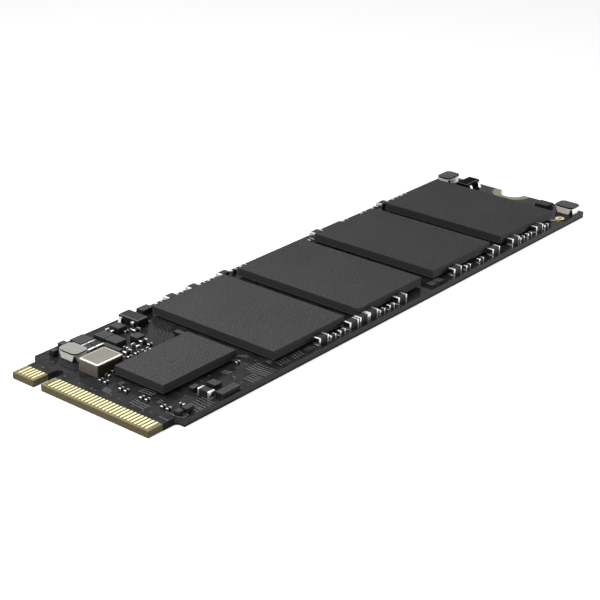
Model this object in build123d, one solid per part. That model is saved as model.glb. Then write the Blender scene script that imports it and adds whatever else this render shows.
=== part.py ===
from build123d import *
import os

# Gumstick solid state drive: a keyed card with a controller, four flash packages and small parts on one
# face. X runs from the connector edge to the screw end, Y across the card and Z up from the underside.
# The origin is the middle of the underside. Sizes are in millimetres.
# A small part's place is its distance along the card from an end or a flash package, and its distance in
# from one of the long edges. Left is the long edge on the side of the key notch, at +Y.

# Card
BOARD_LENGTH = 80.0
BOARD_WIDTH = 22.0
BOARD_THICKNESS = 0.8
SHOULDER_DEPTH = 1.075
TONGUE_LENGTH = 4.0
SHOULDER_RADIUS = 0.5
MASK_DEPTH = 0.03
TONGUE_WIDTH = BOARD_WIDTH - 2 * SHOULDER_DEPTH

# Key notch in the tongue
KEY_WIDTH = 1.2
KEY_DEPTH = 3.5
KEY_FROM_TONGUE_SIDE = 3.8
KEY_OFFSET = TONGUE_WIDTH / 2 - KEY_FROM_TONGUE_SIDE

# Contact pads on the tongue, one row on each face, half a pitch apart
CONTACT_PITCH = 0.5
CONTACT_WIDTH = 0.32
CONTACT_EDGE_GAP = 0.3
BARE_TONGUE_LENGTH = 2.05
CONTACT_MARGIN = 0.5
KEY_PAD_DISTANCE = 1.25

# Screw notch at the far end
NOTCH_RADIUS = 1.75
NOTCH_LAND_RADIUS = 2.75
PLATING_THICKNESS = 0.03

# Plated hole near the far end
HOLE_RADIUS = 0.3
HOLE_LAND_RADIUS = 0.6
HOLE_PLACE = ("far", "right", 4.1, 1.1)

# Moulded packages on solder balls
BALL_HEIGHT = 0.25
BALL_RADIUS = 0.22
SUBSTRATE_THICKNESS = 0.2
MOULD_HEIGHT = 0.8
BALL_SIDES = 6

# Controller package
CONTROLLER_LENGTH = 10.97
CONTROLLER_START = 6.28
CONTROLLER_FROM_LEFT = 9.88
CONTROLLER_FROM_RIGHT = 5.08
CONTROLLER_BALL_PITCH = 0.8
CONTROLLER_DIE_END_MARGIN = 2.9
CONTROLLER_DIE_SIDE_MARGIN = 1.3
CONTROLLER_DIE_THICKNESS = 0.3
CONTROLLER_WIDTH = BOARD_WIDTH - CONTROLLER_FROM_LEFT - CONTROLLER_FROM_RIGHT

# Flash packages, which share the length between the controller and the screw end
FLASH_COUNT = 4
FLASH_GAP = 2.435
FLASH_TO_CONTROLLER = 2.23
FLASH_TO_SCREW_END = 5.21
FLASH_FROM_LEFT = 2.25
FLASH_FROM_RIGHT = 1.69
FLASH_BALL_PITCH = 1.0
DIE_COUNT = 4
DIE_END_MARGIN = 1.5
DIE_SIDE_MARGIN = 2.0
DIE_THICKNESS = 0.1
DIE_STEP = 0.35
FLASH_START = CONTROLLER_START + CONTROLLER_LENGTH + FLASH_TO_CONTROLLER
FLASH_ZONE = BOARD_LENGTH - FLASH_START - FLASH_TO_SCREW_END
FLASH_PITCH = (FLASH_ZONE + FLASH_GAP) / FLASH_COUNT
FLASH_LENGTH = FLASH_PITCH - FLASH_GAP
FLASH_WIDTH = BOARD_WIDTH - FLASH_FROM_LEFT - FLASH_FROM_RIGHT

# Crystal in a metal can
CAN_LENGTH = 3.83
CAN_WIDTH = 3.0
CAN_HEIGHT = 1.4
CAN_WALL = 0.12
CAN_TOP_RADIUS = 0.22
CAN_CORNER_RADIUS = 0.3
CAN_PLACE = ("near", "left", 6.655, 7.445)
CRYSTAL_BASE_THICKNESS = 0.35
SHELF_HEIGHT = 0.1
SHELF_LENGTH = 0.4
BLANK_LENGTH = 2.4
BLANK_WIDTH = 1.6
BLANK_THICKNESS = 0.08

# Power inductors
INDUCTOR_LENGTH = 2.5
INDUCTOR_WIDTH = 2.0
JACKET_HEIGHT = 0.78
JACKET_CUT_TOP = 0.12
JACKET_CUT_BOTTOM = 0.42
PLATE_LENGTH = 2.8
PLATE_WIDTH = 2.14
PLATE_THICKNESS = 0.17
PLATE_CUT = 0.4
PLATE_GAP = 0.07
CORE_POST_RADIUS = 0.4
CORE_FLANGE_RADIUS = 0.78
CORE_FLANGE_THICKNESS = 0.15
WINDING_RADIUS = 0.74
TERMINAL_THICKNESS = 0.03
TERMINAL_LENGTH = 0.6

# Regulators with gull-wing leads
REGULATOR_LENGTH = 3.0
REGULATOR_WIDTH = 1.7
REGULATOR_HEIGHT = 1.1
REGULATOR_STANDOFF = 0.08
REGULATOR_TAPER = 5.0
REGULATOR_EDGE = 0.08
REGULATOR_WAIST = 0.78
LEAD_PITCH = 0.95
LEAD_WIDTH = 0.4
LEAD_THICKNESS = 0.15
LEAD_REACH = 0.6
LEAD_KNEE = 0.22
LEAD_FOOT = 0.2
LEAD_ROOT = 0.25
LEAD_BEND = 0.1

# Leadless chips and small flat parts
PAD_THICKNESS = 0.03
PAD_WIDTH = 0.25
PAD_LENGTH = 0.3
PADS_PER_SIDE = 3
TALL_CHIP_HEIGHT = 0.75
LOW_CHIP_HEIGHT = 0.5
SLIM_PART_HEIGHT = 0.3

# Chip capacitors and resistors: case sizes and end caps
LARGE_LENGTH = 1.65
LARGE_WIDTH = 0.9
LARGE_HEIGHT = 0.8
LARGE_BAND = 0.25
SMALL_LENGTH = 1.0
SMALL_WIDTH = 0.5
SMALL_HEIGHT = 0.5
SMALL_BAND = 0.2
TINY_LENGTH = 0.6
TINY_WIDTH = 0.3
TINY_HEIGHT = 0.3
TINY_BAND = 0.14
RESISTOR_LENGTH = 1.6
RESISTOR_WIDTH = 1.15
RESISTOR_HEIGHT = 0.45
RESISTOR_BAND = 0.25
CAP_WALL = 0.02

# Keeps a count whole when a length is an exact number of pitches
ROUNDING = 0.001

# Rows of supply capacitors along the long edges: the number of a flash package and the distance from its
# front edge
EDGE_LARGE_INSET = 1.05
RIGHT_EDGE_SMALL_INSET = 0.75
LEFT_EDGE_SMALL_INSET = 0.95
RIGHT_EDGE_LARGE = (
    (1, 7.1), (1, 12.4), (1, 14.25), (1, 15.95), (1, 21.4), (3, 3.6), (3, 11.85), (4, 1.85), (4, 7.4),
)
RIGHT_EDGE_SMALL = (
    (1, 8.6), (1, 10.25), (1, 17.45), (1, 19.25), (3, 5.7), (3, 8.5), (4, 3.25), (4, 4.95), (4, 8.9),
)
LEFT_EDGE_LARGE = ((1, 4.2), (1, 7.85), (1, 13.15), (3, 1.65), (4, 1.0))
LEFT_EDGE_SMALL = (
    (1, 2.4), (1, 5.85), (1, 9.6), (1, 11.2), (1, 15.0), (1, 16.8),
    (3, 7.75), (4, -2.9), (4, -0.55), (4, 4.0), (4, 5.9),
)

# Coupling capacitors in pairs behind the contacts, from the right edge to the controller's left edge
COUPLING_FROM_END = 4.5
COUPLING_FROM_RIGHT = 3.0
COUPLING_PAIR_PITCH = 2.98
COUPLING_SPACING = 0.75

# Single parts: the end or flash package that each is placed from, its long edge, its distance along the card
# from the first, its distance in from the second, and how it is turned if it isn't along the card.
QUARTER_TURNS = ("along", "across", "back", "across back")
TINY_CAPACITORS = (
    ("near", "left", 6.8, 9.15),
    ("near", "left", 10.2, 8.05),
    ("near", "left", 11.3, 8.05),
    ("near", "left", 13.8, 7.55),
    ("near", "left", 14.45, 3.25),
    ("near", "right", 16.75, 4.4),
    ("near", "left", 5.7, 9.45, "across"),
    ("near", "left", 12.2, 8.25, "across"),
    ("near", "left", 12.9, 8.25, "across"),
    ("near", "left", 11.5, 6.2, "across"),
    ("near", "right", 6.05, 2.25, "across"),
)
SMALL_CAPACITORS = (
    ("near", "left", 10.65, 7.25),
    ("near", "left", 13.65, 6.6),
    ("near", "left", 15.15, 4.05),
    (3, "left", -1.05, 1.8),
    ("near", "left", 13.12, 2.05, "across"),
    ("near", "left", 12.3, 6.85, "across"),
)
LARGE_CAPACITORS = (("near", "right", 9.2, 1.9, "across"),)
RESISTORS = (
    ("near", "left", 8.72, 3.25, "across"),
    ("near", "left", 9.92, 3.25, "across"),
)
INDUCTORS = (
    ("near", "left", 6.56, 3.32, "across"),
    ("far", "left", 2.2, 1.87),
    ("far", "right", 1.37, 1.69, "across"),
)
REGULATORS = (
    ("near", "left", 16.63, 2.15, "across back"),
    ("far", "left", 2.45, 5.3),
)

# Leadless chips: node, place, length, width and height
CHIPS = (
    ("power_stage_chip_1", ("near", "left", 11.5, 2.8), 1.55, 1.6, TALL_CHIP_HEIGHT),
    ("power_stage_chip_2", ("near", "left", 11.5, 4.6), 1.55, 1.85, TALL_CHIP_HEIGHT),
    ("load_switch_1", ("near", "left", 14.1, 2.33), 1.2, 1.4, TALL_CHIP_HEIGHT),
    ("load_switch_2", ("near", "left", 13.7, 5.75), 1.2, 1.1, TALL_CHIP_HEIGHT),
    ("load_switch_3", ("near", "left", 19.4, 1.15), 1.6, 1.1, TALL_CHIP_HEIGHT),
    ("memory_chip", ("near", "left", 9.5, 1.48), 1.9, 1.8, LOW_CHIP_HEIGHT),
    ("sensor_chip", ("far", "right", 1.7, 5.0), 1.6, 1.9, LOW_CHIP_HEIGHT),
)

# Small flat parts: place, length, width and height
FLAT_PARTS = (
    (("near", "right", 5.68, 1.1), 1.05, 0.7, LOW_CHIP_HEIGHT),
    (("near", "right", 4.5, 1.22), 0.75, 0.65, LOW_CHIP_HEIGHT),
    (("near", "right", 9.3, 3.65), 1.0, 0.65, LOW_CHIP_HEIGHT),
    (("near", "right", 11.28, 2.7), 1.05, 1.2, LOW_CHIP_HEIGHT),
    (("near", "right", 11.17, 0.7), 2.75, 1.0, LOW_CHIP_HEIGHT),
    (("near", "left", 5.35, 1.6), 0.7, 0.7, TALL_CHIP_HEIGHT),
    (("near", "left", 7.55, 0.65), 0.9, 0.9, LOW_CHIP_HEIGHT),
    (("near", "left", 10.31, 5.4), 0.62, 2.6, LOW_CHIP_HEIGHT),
    ((1, "left", -1.76, 8.35), 0.65, 1.5, LOW_CHIP_HEIGHT),
    ((3, "left", 5.0, 1.02), 3.9, 0.95, LOW_CHIP_HEIGHT),
    ((3, "right", -1.3, 0.95), 1.1, 0.9, SLIM_PART_HEIGHT),
    ((3, "right", 0.0, 0.95), 1.1, 0.9, SLIM_PART_HEIGHT),
)


def block(length, width, height):
    """A box that stands on its place."""
    return Box(length, width, height, align=(Align.CENTER, Align.CENTER, Align.MIN))


def disc(radius, height):
    """A cylinder that stands on its place."""
    return Cylinder(radius, height, align=(Align.CENTER, Align.CENTER, Align.MIN))


def flash_front(number):
    """The distance from the connector edge to the front edge of a flash package."""
    return FLASH_START + (number - 1) * FLASH_PITCH


def spot(start, side, along, inwards, turn="along"):
    """A place on the card's top face, from an end or a flash package and from a long edge."""
    if start == "far":
        from_edge = BOARD_LENGTH - along
    elif start == "near":
        from_edge = along
    else:
        from_edge = flash_front(start) + along
    across = BOARD_WIDTH / 2 - inwards
    if side == "right":
        across = -across
    quarter_turns = QUARTER_TURNS.index(turn)
    return Pos(from_edge - BOARD_LENGTH / 2, across, BOARD_THICKNESS) * Rot(0, 0, 90 * quarter_turns)


def group(shapes):
    """Separate solids that share one node."""
    solids = []
    for shape in shapes:
        solids.extend(shape.solids())
    return Compound(solids)


def cut_corner_rectangle(length, width, cut):
    """A rectangle with its four corners cut off at 45 degrees."""
    rectangle = Rectangle(length, width)
    return chamfer(rectangle.vertices(), cut)


def both_faces(depth, shape_of_height):
    """A shape as deep as a recess, at the top face and again at the underside."""
    shape = shape_of_height(depth)
    return shape + Pos(0, 0, BOARD_THICKNESS - depth) * shape


def circuit_board():
    """The laminate: tongue, shoulders, key notch, screw notch, and recesses where the mask is left off."""
    outline = Rectangle(BOARD_LENGTH, BOARD_WIDTH)
    for side in (-1, 1):
        corner = Rectangle(2 * TONGUE_LENGTH, 2 * SHOULDER_DEPTH)
        outline -= Pos(-BOARD_LENGTH / 2, side * BOARD_WIDTH / 2) * corner
    shoulder_corners = outline.vertices().group_by(Axis.X)[1]
    inner_corners = [corner for corner in shoulder_corners if abs(corner.Y) < BOARD_WIDTH / 2 - ROUNDING]
    outline = fillet(inner_corners, SHOULDER_RADIUS)
    key_round = KEY_DEPTH - KEY_WIDTH / 2
    key = Rectangle(2 * key_round, KEY_WIDTH) + Pos(key_round, 0) * Circle(KEY_WIDTH / 2)
    outline -= Pos(-BOARD_LENGTH / 2, KEY_OFFSET) * key
    outline -= Pos(BOARD_LENGTH / 2, 0) * Circle(NOTCH_RADIUS + PLATING_THICKNESS)
    board = extrude(outline, BOARD_THICKNESS)

    tongue_recess = both_faces(MASK_DEPTH, lambda depth: block(2 * BARE_TONGUE_LENGTH, BOARD_WIDTH, depth))
    land_recess = both_faces(PLATING_THICKNESS, lambda depth: disc(NOTCH_LAND_RADIUS, depth))
    board -= Pos(-BOARD_LENGTH / 2, 0, 0) * tongue_recess
    board -= Pos(BOARD_LENGTH / 2, 0, 0) * land_recess
    return board - hole_place() * hole_barrel(HOLE_RADIUS + PLATING_THICKNESS)


def contact_row(outermost, innermost, underside):
    """Contact pads a pitch apart, from the outer edge of the tongue towards the key notch."""
    length = BARE_TONGUE_LENGTH - CONTACT_EDGE_GAP
    middle = -BOARD_LENGTH / 2 + CONTACT_EDGE_GAP + length / 2
    level = 0 if underside else BOARD_THICKNESS - MASK_DEPTH
    inwards = 1 if innermost > outermost else -1
    count = 1 + int(abs(innermost - outermost) / CONTACT_PITCH + ROUNDING)
    pads = []
    for number in range(count):
        pad = block(length, CONTACT_WIDTH, MASK_DEPTH)
        pads.append(Pos(middle, outermost + inwards * number * CONTACT_PITCH, level) * pad)
    return pads


def contact_fingers(underside):
    """The pads of one face on both sides of the key notch. The two faces' rows are half a pitch apart."""
    shift = CONTACT_PITCH / 4 if underside else -CONTACT_PITCH / 4
    stagger = CONTACT_PITCH / 2 if underside else 0
    outermost = TONGUE_WIDTH / 2 - CONTACT_MARGIN - CONTACT_WIDTH / 2 - stagger
    large_row = contact_row(-outermost, KEY_OFFSET + shift - KEY_PAD_DISTANCE, underside)
    small_row = contact_row(outermost, KEY_OFFSET + shift + KEY_PAD_DISTANCE, underside)
    return group(large_row + small_row)


def screw_notch_plating():
    """The half ring of metal on both faces of the screw notch, joined by the plated wall."""
    ring = disc(NOTCH_LAND_RADIUS, BOARD_THICKNESS) - disc(NOTCH_RADIUS, BOARD_THICKNESS)
    between = BOARD_THICKNESS - 2 * PLATING_THICKNESS
    core = disc(NOTCH_LAND_RADIUS, between) - disc(NOTCH_RADIUS + PLATING_THICKNESS, between)
    ring -= Pos(0, 0, PLATING_THICKNESS) * core
    half_plane = block(2 * NOTCH_LAND_RADIUS, 3 * NOTCH_LAND_RADIUS, BOARD_THICKNESS)
    return Pos(BOARD_LENGTH / 2, 0, 0) * (ring & Pos(-NOTCH_LAND_RADIUS, 0, 0) * half_plane)


def hole_place():
    """The centre of the plated hole, at the underside."""
    return spot(*HOLE_PLACE) * Pos(0, 0, -BOARD_THICKNESS)


def hole_barrel(radius):
    """A spool through the card: a shaft of this radius with a land at each face."""
    lands = both_faces(PLATING_THICKNESS, lambda depth: disc(HOLE_LAND_RADIUS, depth))
    return disc(radius, BOARD_THICKNESS) + lands


def plated_hole_lining():
    """The gold barrel and its two lands."""
    barrel = hole_barrel(HOLE_RADIUS + PLATING_THICKNESS) - disc(HOLE_RADIUS, BOARD_THICKNESS)
    return hole_place() * barrel


def ball_ring(length, width, pitch):
    """Solder balls in one ring at a pitch, as many-sided columns that are as tall as the seated balls."""
    columns = int(length / pitch + ROUNDING)
    rows = int(width / pitch + ROUNDING)
    column = extrude(RegularPolygon(BALL_RADIUS, BALL_SIDES), BALL_HEIGHT)
    balls = []
    for i in range(columns):
        for j in range(rows):
            if i in (0, columns - 1) or j in (0, rows - 1):
                balls.append(Pos((i - (columns - 1) / 2) * pitch, (j - (rows - 1) / 2) * pitch, 0) * column)
    return group(balls)


def moulded_package(name, place, length, width, ball_pitch, die_name, dies):
    """A chip package: balls, substrate, chips on it, and the epoxy cap moulded round them."""
    substrate_place = place * Pos(0, 0, BALL_HEIGHT)
    die_place = substrate_place * Pos(0, 0, SUBSTRATE_THICKNESS)
    cap = block(length, width, MOULD_HEIGHT)
    for die in dies.solids():
        cap -= die
    return {
        name + "_solder_balls": place * ball_ring(length, width, ball_pitch),
        name + "_substrate": substrate_place * block(length, width, SUBSTRATE_THICKNESS),
        name + die_name: die_place * dies,
        name + "_mould_cap": die_place * cap,
    }


def controller():
    """The controller package with its single chip."""
    inwards = CONTROLLER_FROM_LEFT + CONTROLLER_WIDTH / 2
    place = spot("near", "left", CONTROLLER_START + CONTROLLER_LENGTH / 2, inwards)
    die_length = CONTROLLER_LENGTH - 2 * CONTROLLER_DIE_END_MARGIN
    die_width = CONTROLLER_WIDTH - 2 * CONTROLLER_DIE_SIDE_MARGIN
    die = group([block(die_length, die_width, CONTROLLER_DIE_THICKNESS)])
    return moulded_package(
        "controller", place, CONTROLLER_LENGTH, CONTROLLER_WIDTH, CONTROLLER_BALL_PITCH, "_die", die
    )


def die_stack():
    """Chips on top of each other, each stepped sideways to leave the bond pads of the one below free."""
    length = FLASH_LENGTH - 2 * DIE_END_MARGIN
    width = FLASH_WIDTH - 2 * DIE_SIDE_MARGIN - (DIE_COUNT - 1) * DIE_STEP
    stack = []
    for level in range(DIE_COUNT):
        step = (level - (DIE_COUNT - 1) / 2) * DIE_STEP
        stack.append(Pos(0, step, level * DIE_THICKNESS) * block(length, width, DIE_THICKNESS))
    return group(stack)


def flash_packages():
    """The flash packages, one after another along the card."""
    packages = {}
    for number in range(1, FLASH_COUNT + 1):
        place = spot(number, "left", FLASH_LENGTH / 2, FLASH_FROM_LEFT + FLASH_WIDTH / 2)
        packages |= moulded_package(
            f"flash_{number}", place, FLASH_LENGTH, FLASH_WIDTH, FLASH_BALL_PITCH, "_die_stack", die_stack()
        )
    return packages


def crystal():
    """The crystal: a drawn metal can over a ceramic base whose two shelves carry the quartz blank."""
    place = spot(*CAN_PLACE)
    can = extrude(RectangleRounded(CAN_LENGTH, CAN_WIDTH, CAN_CORNER_RADIUS), CAN_HEIGHT)
    can = fillet(can.faces().sort_by(Axis.Z)[-1].edges(), CAN_TOP_RADIUS)
    inner_length = CAN_LENGTH - 2 * CAN_WALL
    inner_width = CAN_WIDTH - 2 * CAN_WALL
    inner_corner = CAN_CORNER_RADIUS - CAN_WALL
    can -= extrude(RectangleRounded(inner_length, inner_width, inner_corner), CAN_HEIGHT - CAN_WALL)
    base = extrude(RectangleRounded(inner_length, inner_width, inner_corner), CRYSTAL_BASE_THICKNESS)
    for end in (-1, 1):
        shelf = block(SHELF_LENGTH, BLANK_WIDTH, SHELF_HEIGHT)
        base += Pos(end * (BLANK_LENGTH - SHELF_LENGTH) / 2, 0, CRYSTAL_BASE_THICKNESS) * shelf
    blank = block(BLANK_LENGTH, BLANK_WIDTH, BLANK_THICKNESS)
    blank = Pos(0, 0, CRYSTAL_BASE_THICKNESS + SHELF_HEIGHT) * blank
    return {
        "crystal_can": place * can,
        "crystal_base": place * base,
        "quartz_blank": place * blank,
    }


def inductor_core():
    """The ferrite drum: a round lower flange, a post, and the eight-sided plate on top."""
    plate_level = TERMINAL_THICKNESS + JACKET_HEIGHT + PLATE_GAP
    core = Pos(0, 0, TERMINAL_THICKNESS) * disc(CORE_FLANGE_RADIUS, CORE_FLANGE_THICKNESS)
    core += Pos(0, 0, TERMINAL_THICKNESS) * disc(CORE_POST_RADIUS, plate_level - TERMINAL_THICKNESS)
    plate = extrude(cut_corner_rectangle(PLATE_LENGTH, PLATE_WIDTH, PLATE_CUT), PLATE_THICKNESS)
    return core + Pos(0, 0, plate_level) * plate


def inductor_winding():
    """The coil of wire round the post, as one ring."""
    height = JACKET_HEIGHT - CORE_FLANGE_THICKNESS
    ring = disc(WINDING_RADIUS, height) - disc(CORE_POST_RADIUS, height)
    return Pos(0, 0, TERMINAL_THICKNESS + CORE_FLANGE_THICKNESS) * ring


def inductor_jacket():
    """The pale block round the coil, with corners cut back further at the foot than at the top."""
    foot = cut_corner_rectangle(INDUCTOR_LENGTH, INDUCTOR_WIDTH, JACKET_CUT_BOTTOM)
    head = Pos(0, 0, JACKET_HEIGHT) * cut_corner_rectangle(INDUCTOR_LENGTH, INDUCTOR_WIDTH, JACKET_CUT_TOP)
    jacket = loft([foot, head], ruled=True)
    jacket -= disc(CORE_FLANGE_RADIUS, CORE_FLANGE_THICKNESS)
    jacket -= disc(WINDING_RADIUS, JACKET_HEIGHT)
    return Pos(0, 0, TERMINAL_THICKNESS) * jacket


def inductors():
    """The three inductors, with the solder terminals of all of them in one node."""
    nodes = {}
    terminals = []
    for number, place_words in enumerate(INDUCTORS, start=1):
        place = spot(*place_words)
        nodes[f"inductor_{number}_core"] = place * inductor_core()
        nodes[f"inductor_{number}_winding"] = place * inductor_winding()
        nodes[f"inductor_{number}_jacket"] = place * inductor_jacket()
        for end in (-1, 1):
            terminal_width = INDUCTOR_WIDTH - 2 * JACKET_CUT_BOTTOM
            terminal = block(TERMINAL_LENGTH, terminal_width, TERMINAL_THICKNESS)
            terminals.append(place * Pos(end * (INDUCTOR_LENGTH - TERMINAL_LENGTH) / 2, 0, 0) * terminal)
    nodes["inductor_terminals"] = group(terminals)
    return nodes


def gull_lead():
    """One lead along -Y: out of the body, down at a slope, and a flat foot on the card."""
    root = -REGULATOR_WIDTH / 2
    knee = root - LEAD_KNEE
    toe = root - LEAD_REACH
    route = FilletPolyline(
        (root + LEAD_ROOT, REGULATOR_WAIST),
        (knee, REGULATOR_WAIST),
        (toe + LEAD_FOOT, LEAD_THICKNESS / 2),
        (toe, LEAD_THICKNESS / 2),
        radius=LEAD_BEND,
    )
    return extrude(Plane.YZ * trace(route, LEAD_THICKNESS), LEAD_WIDTH / 2, both=True)


def regulator(name, place):
    """A regulator: two leads on one side, three on the other, and the moulded body round their roots."""
    lead = gull_lead()
    leads = []
    for offset in (-LEAD_PITCH, LEAD_PITCH):
        leads.append(Pos(offset, 0, 0) * lead)
    for offset in (-LEAD_PITCH, 0, LEAD_PITCH):
        leads.append(Pos(offset, 0, 0) * Rot(0, 0, 180) * lead)
    waist = Pos(0, 0, REGULATOR_WAIST) * Rectangle(REGULATOR_LENGTH, REGULATOR_WIDTH)
    upper = extrude(waist, REGULATOR_HEIGHT - REGULATOR_WAIST, taper=REGULATOR_TAPER)
    upper = chamfer(upper.faces().sort_by(Axis.Z)[-1].edges(), REGULATOR_EDGE)
    lower_height = REGULATOR_WAIST - REGULATOR_STANDOFF
    lower = extrude(waist, lower_height, dir=(0, 0, -1), taper=REGULATOR_TAPER)
    body = upper + lower
    for piece in leads:
        body -= piece
    return {name + "_body": place * body, name + "_leads": place * group(leads)}


def leadless_chip(place, length, width, height):
    """A flat moulded body on solder pads along its two long sides."""
    body = place * Pos(0, 0, PAD_THICKNESS) * block(length, width, height - PAD_THICKNESS)
    pads = []
    spacing = length / PADS_PER_SIDE
    for side in (-1, 1):
        for number in range(PADS_PER_SIDE):
            along = (number - (PADS_PER_SIDE - 1) / 2) * spacing
            across = side * (width - PAD_LENGTH) / 2
            pads.append(place * Pos(along, across, 0) * block(PAD_WIDTH, PAD_LENGTH, PAD_THICKNESS))
    return body, pads


def two_pad_part(place, length, width, height):
    """A flat moulded body on a pad at each end of its longer side."""
    body = place * Pos(0, 0, PAD_THICKNESS) * block(length, width, height - PAD_THICKNESS)
    pads = []
    for end in (-1, 1):
        if length >= width:
            pad = Pos(end * (length - PAD_WIDTH) / 2, 0, 0) * block(PAD_WIDTH, width, PAD_THICKNESS)
        else:
            pad = Pos(0, end * (width - PAD_WIDTH) / 2, 0) * block(length, PAD_WIDTH, PAD_THICKNESS)
        pads.append(place * pad)
    return body, pads


def chips():
    """The leadless chips, each in its own node, and their pads together."""
    nodes = {}
    all_pads = []
    for name, place_words, length, width, height in CHIPS:
        body, pads = leadless_chip(spot(*place_words), length, width, height)
        nodes[name] = body
        all_pads.extend(pads)
    nodes["chip_pads"] = group(all_pads)
    return nodes


def flat_parts():
    """Diodes, beads and fuses, as flat blocks on two pads."""
    bodies = []
    all_pads = []
    for place_words, length, width, height in FLAT_PARTS:
        body, pads = two_pad_part(spot(*place_words), length, width, height)
        bodies.append(body)
        all_pads.extend(pads)
    return {"flat_part_bodies": group(bodies), "flat_part_pads": group(all_pads)}


def end_capped_part(length, width, height, band):
    """A ceramic block and the two metal caps that cover its ends."""
    core = block(length - 2 * CAP_WALL, width - 2 * CAP_WALL, height - 2 * CAP_WALL)
    core = Pos(0, 0, CAP_WALL) * core
    caps = []
    for end in (-1, 1):
        cap = Pos(end * (length - band) / 2, 0, 0) * block(band, width, height)
        caps.append(cap - core)
    return core, caps


def end_capped_parts(name, places, length, width, height, band):
    """All parts of one case size: their ceramic bodies in one node and their end caps in another."""
    core, caps = end_capped_part(length, width, height, band)
    bodies = []
    terminals = []
    for place_words in places:
        place = spot(*place_words)
        bodies.append(place * core)
        for cap in caps:
            terminals.append(place * cap)
    return {name + "_bodies": group(bodies), name + "_terminals": group(terminals)}


def edge_row(side, inset, distances):
    """Places along one long edge of the card, beside the flash packages."""
    return [(number, side, along, inset) for number, along in distances]


def coupling_row():
    """Places of the coupling capacitors, two for each pair of contacts that they serve."""
    span = BOARD_WIDTH - COUPLING_FROM_RIGHT - CONTROLLER_FROM_LEFT
    pairs = 1 + int(span / COUPLING_PAIR_PITCH + ROUNDING)
    places = []
    for pair in range(pairs):
        centre = COUPLING_FROM_RIGHT + pair * COUPLING_PAIR_PITCH
        for step in (-COUPLING_SPACING / 2, COUPLING_SPACING / 2):
            places.append(("near", "right", COUPLING_FROM_END, centre + step))
    return places


def capacitors_and_resistors():
    """Every part with end caps, by case size."""
    large = edge_row("right", EDGE_LARGE_INSET, RIGHT_EDGE_LARGE)
    large += edge_row("left", EDGE_LARGE_INSET, LEFT_EDGE_LARGE)
    large += LARGE_CAPACITORS
    small = edge_row("right", RIGHT_EDGE_SMALL_INSET, RIGHT_EDGE_SMALL)
    small += edge_row("left", LEFT_EDGE_SMALL_INSET, LEFT_EDGE_SMALL)
    small += SMALL_CAPACITORS
    tiny = coupling_row() + list(TINY_CAPACITORS)
    nodes = {}
    nodes |= end_capped_parts("large_capacitor", large, LARGE_LENGTH, LARGE_WIDTH, LARGE_HEIGHT, LARGE_BAND)
    nodes |= end_capped_parts("small_capacitor", small, SMALL_LENGTH, SMALL_WIDTH, SMALL_HEIGHT, SMALL_BAND)
    nodes |= end_capped_parts("tiny_capacitor", tiny, TINY_LENGTH, TINY_WIDTH, TINY_HEIGHT, TINY_BAND)
    nodes |= end_capped_parts(
        "resistor", RESISTORS, RESISTOR_LENGTH, RESISTOR_WIDTH, RESISTOR_HEIGHT, RESISTOR_BAND
    )
    return nodes


def all_nodes():
    """Every node of the drive, by name."""
    nodes = {
        "circuit_board": circuit_board(),
        "contact_fingers_top": contact_fingers(underside=False),
        "contact_fingers_bottom": contact_fingers(underside=True),
        "screw_notch_plating": screw_notch_plating(),
        "plated_hole_lining": plated_hole_lining(),
    }
    nodes |= controller()
    nodes |= flash_packages()
    nodes |= crystal()
    nodes |= inductors()
    for number, place_words in enumerate(REGULATORS, start=1):
        nodes |= regulator(f"regulator_{number}", spot(*place_words))
    nodes |= chips()
    nodes |= flat_parts()
    nodes |= capacitors_and_resistors()
    return nodes


os.makedirs("parts", exist_ok=True)
for node_name, node_shape in all_nodes().items():
    export_step(node_shape, f"parts/{node_name}.step")
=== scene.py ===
import math

import bmesh
import bpy
from mathutils import Matrix, Vector


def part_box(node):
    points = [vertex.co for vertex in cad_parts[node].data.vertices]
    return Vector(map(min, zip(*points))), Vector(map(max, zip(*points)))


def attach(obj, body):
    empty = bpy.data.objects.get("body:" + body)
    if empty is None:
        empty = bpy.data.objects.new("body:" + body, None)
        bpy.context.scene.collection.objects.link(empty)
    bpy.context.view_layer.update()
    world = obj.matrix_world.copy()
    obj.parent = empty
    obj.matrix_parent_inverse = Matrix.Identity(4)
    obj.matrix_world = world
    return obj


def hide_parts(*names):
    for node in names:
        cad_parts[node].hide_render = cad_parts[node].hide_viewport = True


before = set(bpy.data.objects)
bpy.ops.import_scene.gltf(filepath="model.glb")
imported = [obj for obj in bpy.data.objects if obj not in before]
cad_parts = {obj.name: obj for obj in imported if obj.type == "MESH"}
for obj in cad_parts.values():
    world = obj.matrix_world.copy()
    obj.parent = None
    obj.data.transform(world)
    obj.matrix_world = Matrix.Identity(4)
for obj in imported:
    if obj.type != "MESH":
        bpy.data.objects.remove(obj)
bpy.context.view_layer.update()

bl_info = {
    "name": "Gumstick Drive Dresser",
    "version": (1, 0, 0),
    "blender": (4, 5, 0),
    "location": "View3D > Sidebar > Drive",
    "description": "Dresses the packed model of a gumstick solid state drive and sets up its studio",
    "category": "Object",
}

# The card's own measures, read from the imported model. Lengths are in metres unless a name says mm.
MM = 0.001
CARD_LOW, CARD_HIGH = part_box("circuit_board")
CARD_FACE = CARD_HIGH.z
CONTACTS_LOW, CONTACTS_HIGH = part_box("contact_fingers_top")
BARE_TONGUE_END = CONTACTS_HIGH.x
KEY_NOTCH_MIDDLE = 6.125 * MM

# The contacts on either side of the key notch start this far from its middle.
KEY_CLEARANCE = 1.05 * MM

# Painted shade: the routed edges of the tongue as far as its shoulders, and the foot of every edge, are painted
# dark.
EDGE_SHADE_LENGTH = 4.1 * MM
EDGE_SHADE_HALF_WIDTH = 9.96 * MM
EDGE_SHADE_FOOT = 0.22 * MM

WHITE = (1, 1, 1, 1)


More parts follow.
